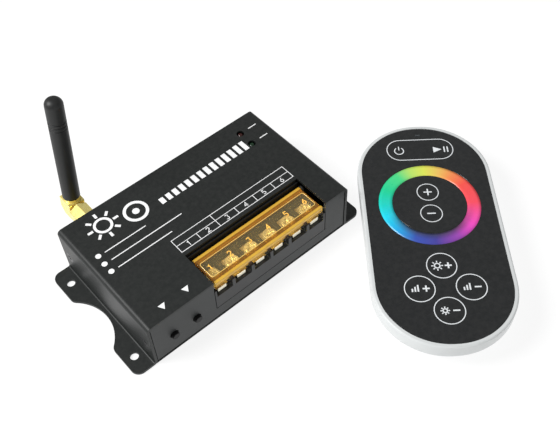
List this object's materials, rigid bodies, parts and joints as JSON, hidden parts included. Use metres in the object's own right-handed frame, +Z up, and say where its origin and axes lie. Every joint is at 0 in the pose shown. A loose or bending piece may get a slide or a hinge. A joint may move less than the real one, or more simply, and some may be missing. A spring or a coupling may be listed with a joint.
{
  "type": "led strip controller",
  "caption": "Box controller for light strips: sheet case with mounting ears, screw terminals under an amber cover, buttons and stub antenna, with its touch remote",
  "frame": {"origin": "centre of the four mounting holes, on the underside of the ears", "axes": "+X along the case towards its indicator lights, +Y from the terminals towards the antenna, +Z up out of the mounting surface"},
  "size_m": [0.168, 0.1615, 0.0703],
  "materials": {
    "case_paint": "fine satin powder coat",
    "tray_paint": "fine satin powder coat",
    "black_screw_steel": "black oxide",
    "spacer_brass": "turned",
    "plated_steel": "zinc plated",
    "insulation_film": "thin film",
    "board_laminate": "solder resist",
    "block_plastic": "moulded nylon",
    "contact_metal": "tin plated",
    "clamp_metal": "nickel plated",
    "amber_plastic": "clear amber moulding",
    "button_plastic": "moulded",
    "switch_body": "stamped",
    "power_lens": "diffused red lens",
    "signal_lens": "diffused green lens",
    "gold_plate": "gold plated",
    "antenna_rubber": "smooth",
    "copper_wire": "enamelled",
    "radio_board": "solder resist with tinned shield",
    "coax_jacket": "thin jacket",
    "chip_epoxy": "moulded epoxy",
    "capacitor_sleeve": "shrunk sleeve",
    "white_shell": "smooth moulding",
    "touch_glass": "printed acrylic",
    "status_lens": "clear lens",
    "cell_sleeve": "printed sleeve",
    "contact_spring_steel": "nickel plated"
  },
  "bodies": {
    "controller": {"top_cover": "case_paint", "base_tray": "tray_paint", "case_screws": "black_screw_steel", "pcb_standoffs": "spacer_brass", "pcb_screws": "plated_steel", "insulation_sheet": "insulation_film", "main_pcb": "board_laminate", "terminal_housing": "block_plastic", "terminal_contacts": "contact_metal", "tact_switches": "switch_body", "power_led": "power_lens", "signal_led": "signal_lens", "led_leads": "plated_steel", "antenna_jack": "gold_plate", "jack_washer": "gold_plate", "jack_nut": "gold_plate", "rf_module": "radio_board", "coax_lead": "coax_jacket", "microcontroller": "chip_epoxy", "power_transistors": "chip_epoxy", "capacitors": "capacitor_sleeve", "regulator": "chip_epoxy"},
    "amber_cover": {"terminal_cover": "amber_plastic"},
    "function_key": {"function_button": "button_plastic"},
    "match_key": {"match_button": "button_plastic"},
    "antenna": {"antenna_elbow": "gold_plate", "antenna_sleeve": "antenna_rubber", "antenna_element": "copper_wire"},
    "coupling_nut": {"antenna_coupling_nut": "gold_plate"},
    "remote": {"remote_upper_shell": "white_shell", "remote_lower_shell": "white_shell", "touch_panel": "touch_glass", "touch_pcb": "board_laminate", "remote_chips": "chip_epoxy", "status_led": "status_lens", "remote_batteries": "cell_sleeve", "battery_contacts": "contact_spring_steel", "remote_screws": "plated_steel"},
    "battery_door": {"battery_cover": "white_shell"},
    "clamp_1": {"clamp_plate_1": "clamp_metal"},
    "clamp_screw_1": {"terminal_screw_1": "clamp_metal"},
    "clamp_2": {"clamp_plate_2": "clamp_metal"},
    "clamp_screw_2": {"terminal_screw_2": "clamp_metal"},
    "clamp_3": {"clamp_plate_3": "clamp_metal"},
    "clamp_screw_3": {"terminal_screw_3": "clamp_metal"},
    "clamp_4": {"clamp_plate_4": "clamp_metal"},
    "clamp_screw_4": {"terminal_screw_4": "clamp_metal"},
    "clamp_5": {"clamp_plate_5": "clamp_metal"},
    "clamp_screw_5": {"terminal_screw_5": "clamp_metal"},
    "clamp_6": {"clamp_plate_6": "clamp_metal"},
    "clamp_screw_6": {"terminal_screw_6": "clamp_metal"}
  },
  "joints": [
    {"name": "cover_hinge", "type": "hinge", "parent": "controller", "child": "amber_cover", "pos_m": [0.0092, -0.01595, 0.02055], "axis": [-1, 0, 0], "range_deg": [0, 100]},
    {"name": "clamp_lift_1", "type": "slide", "parent": "controller", "child": "clamp_1", "axis": [0, 0, 1], "range_m": [0, 0.0018]},
    {"name": "screw_turn_1", "type": "hinge", "parent": "clamp_1", "child": "clamp_screw_1", "pos_m": [-0.01455, -0.023, 0.0157], "axis": [0, 0, 1], "range_deg": [0, 1297]},
    {"name": "clamp_lift_2", "type": "slide", "parent": "controller", "child": "clamp_2", "axis": [0, 0, 1], "range_m": [0, 0.0018]},
    {"name": "screw_turn_2", "type": "hinge", "parent": "clamp_2", "child": "clamp_screw_2", "pos_m": [-0.00505, -0.023, 0.0157], "axis": [0, 0, 1], "range_deg": [0, 1297]},
    {"name": "clamp_lift_3", "type": "slide", "parent": "controller", "child": "clamp_3", "axis": [0, 0, 1], "range_m": [0, 0.0018]},
    {"name": "screw_turn_3", "type": "hinge", "parent": "clamp_3", "child": "clamp_screw_3", "pos_m": [0.00445, -0.023, 0.0157], "axis": [0, 0, 1], "range_deg": [0, 1297]},
    {"name": "clamp_lift_4", "type": "slide", "parent": "controller", "child": "clamp_4", "axis": [0, 0, 1], "range_m": [0, 0.0018]},
    {"name": "screw_turn_4", "type": "hinge", "parent": "clamp_4", "child": "clamp_screw_4", "pos_m": [0.01395, -0.023, 0.0157], "axis": [0, 0, 1], "range_deg": [0, 1297]},
    {"name": "clamp_lift_5", "type": "slide", "parent": "controller", "child": "clamp_5", "axis": [0, 0, 1], "range_m": [0, 0.0018]},
    {"name": "screw_turn_5", "type": "hinge", "parent": "clamp_5", "child": "clamp_screw_5", "pos_m": [0.02345, -0.023, 0.0157], "axis": [0, 0, 1], "range_deg": [0, 1297]},
    {"name": "clamp_lift_6", "type": "slide", "parent": "controller", "child": "clamp_6", "axis": [0, 0, 1], "range_m": [0, 0.0018]},
    {"name": "screw_turn_6", "type": "hinge", "parent": "clamp_6", "child": "clamp_screw_6", "pos_m": [0.03295, -0.023, 0.0157], "axis": [0, 0, 1], "range_deg": [0, 1297]},
    {"name": "function_press", "type": "slide", "parent": "controller", "child": "function_key", "axis": [0, 1, 0], "range_m": [0, 0.00025], "stiffness_N_per_m": 400},
    {"name": "match_press", "type": "slide", "parent": "controller", "child": "match_key", "axis": [0, 1, 0], "range_m": [0, 0.00025], "stiffness_N_per_m": 400},
    {"name": "antenna_swivel", "type": "hinge", "parent": "controller", "child": "antenna", "pos_m": [-0.0345, 0.042, 0.014], "axis": [0, 1, 0], "range_deg": [-96, 83]},
    {"name": "coupling_turn", "type": "hinge", "parent": "controller", "child": "coupling_nut", "pos_m": [-0.0345, 0.037, 0.014], "axis": [0, 1, 0], "continuous": true},
    {"name": "remote_lift", "type": "slide", "parent": "controller", "child": "remote", "axis": [0, 0, 1], "range_m": [0, 0.1]},
    {"name": "battery_door_slide", "type": "slide", "parent": "remote", "child": "battery_door", "axis": [-0.6374, -0.7705, 0], "range_m": [0, 0.046]}
  ],
  "couplings": [
    {"joint": "screw_turn_1", "follows": "clamp_lift_1", "rad_per_m": 12566},
    {"joint": "screw_turn_2", "follows": "clamp_lift_2", "rad_per_m": 12566},
    {"joint": "screw_turn_3", "follows": "clamp_lift_3", "rad_per_m": 12566},
    {"joint": "screw_turn_4", "follows": "clamp_lift_4", "rad_per_m": 12566},
    {"joint": "screw_turn_5", "follows": "clamp_lift_5", "rad_per_m": 12566},
    {"joint": "screw_turn_6", "follows": "clamp_lift_6", "rad_per_m": 12566}
  ]
}
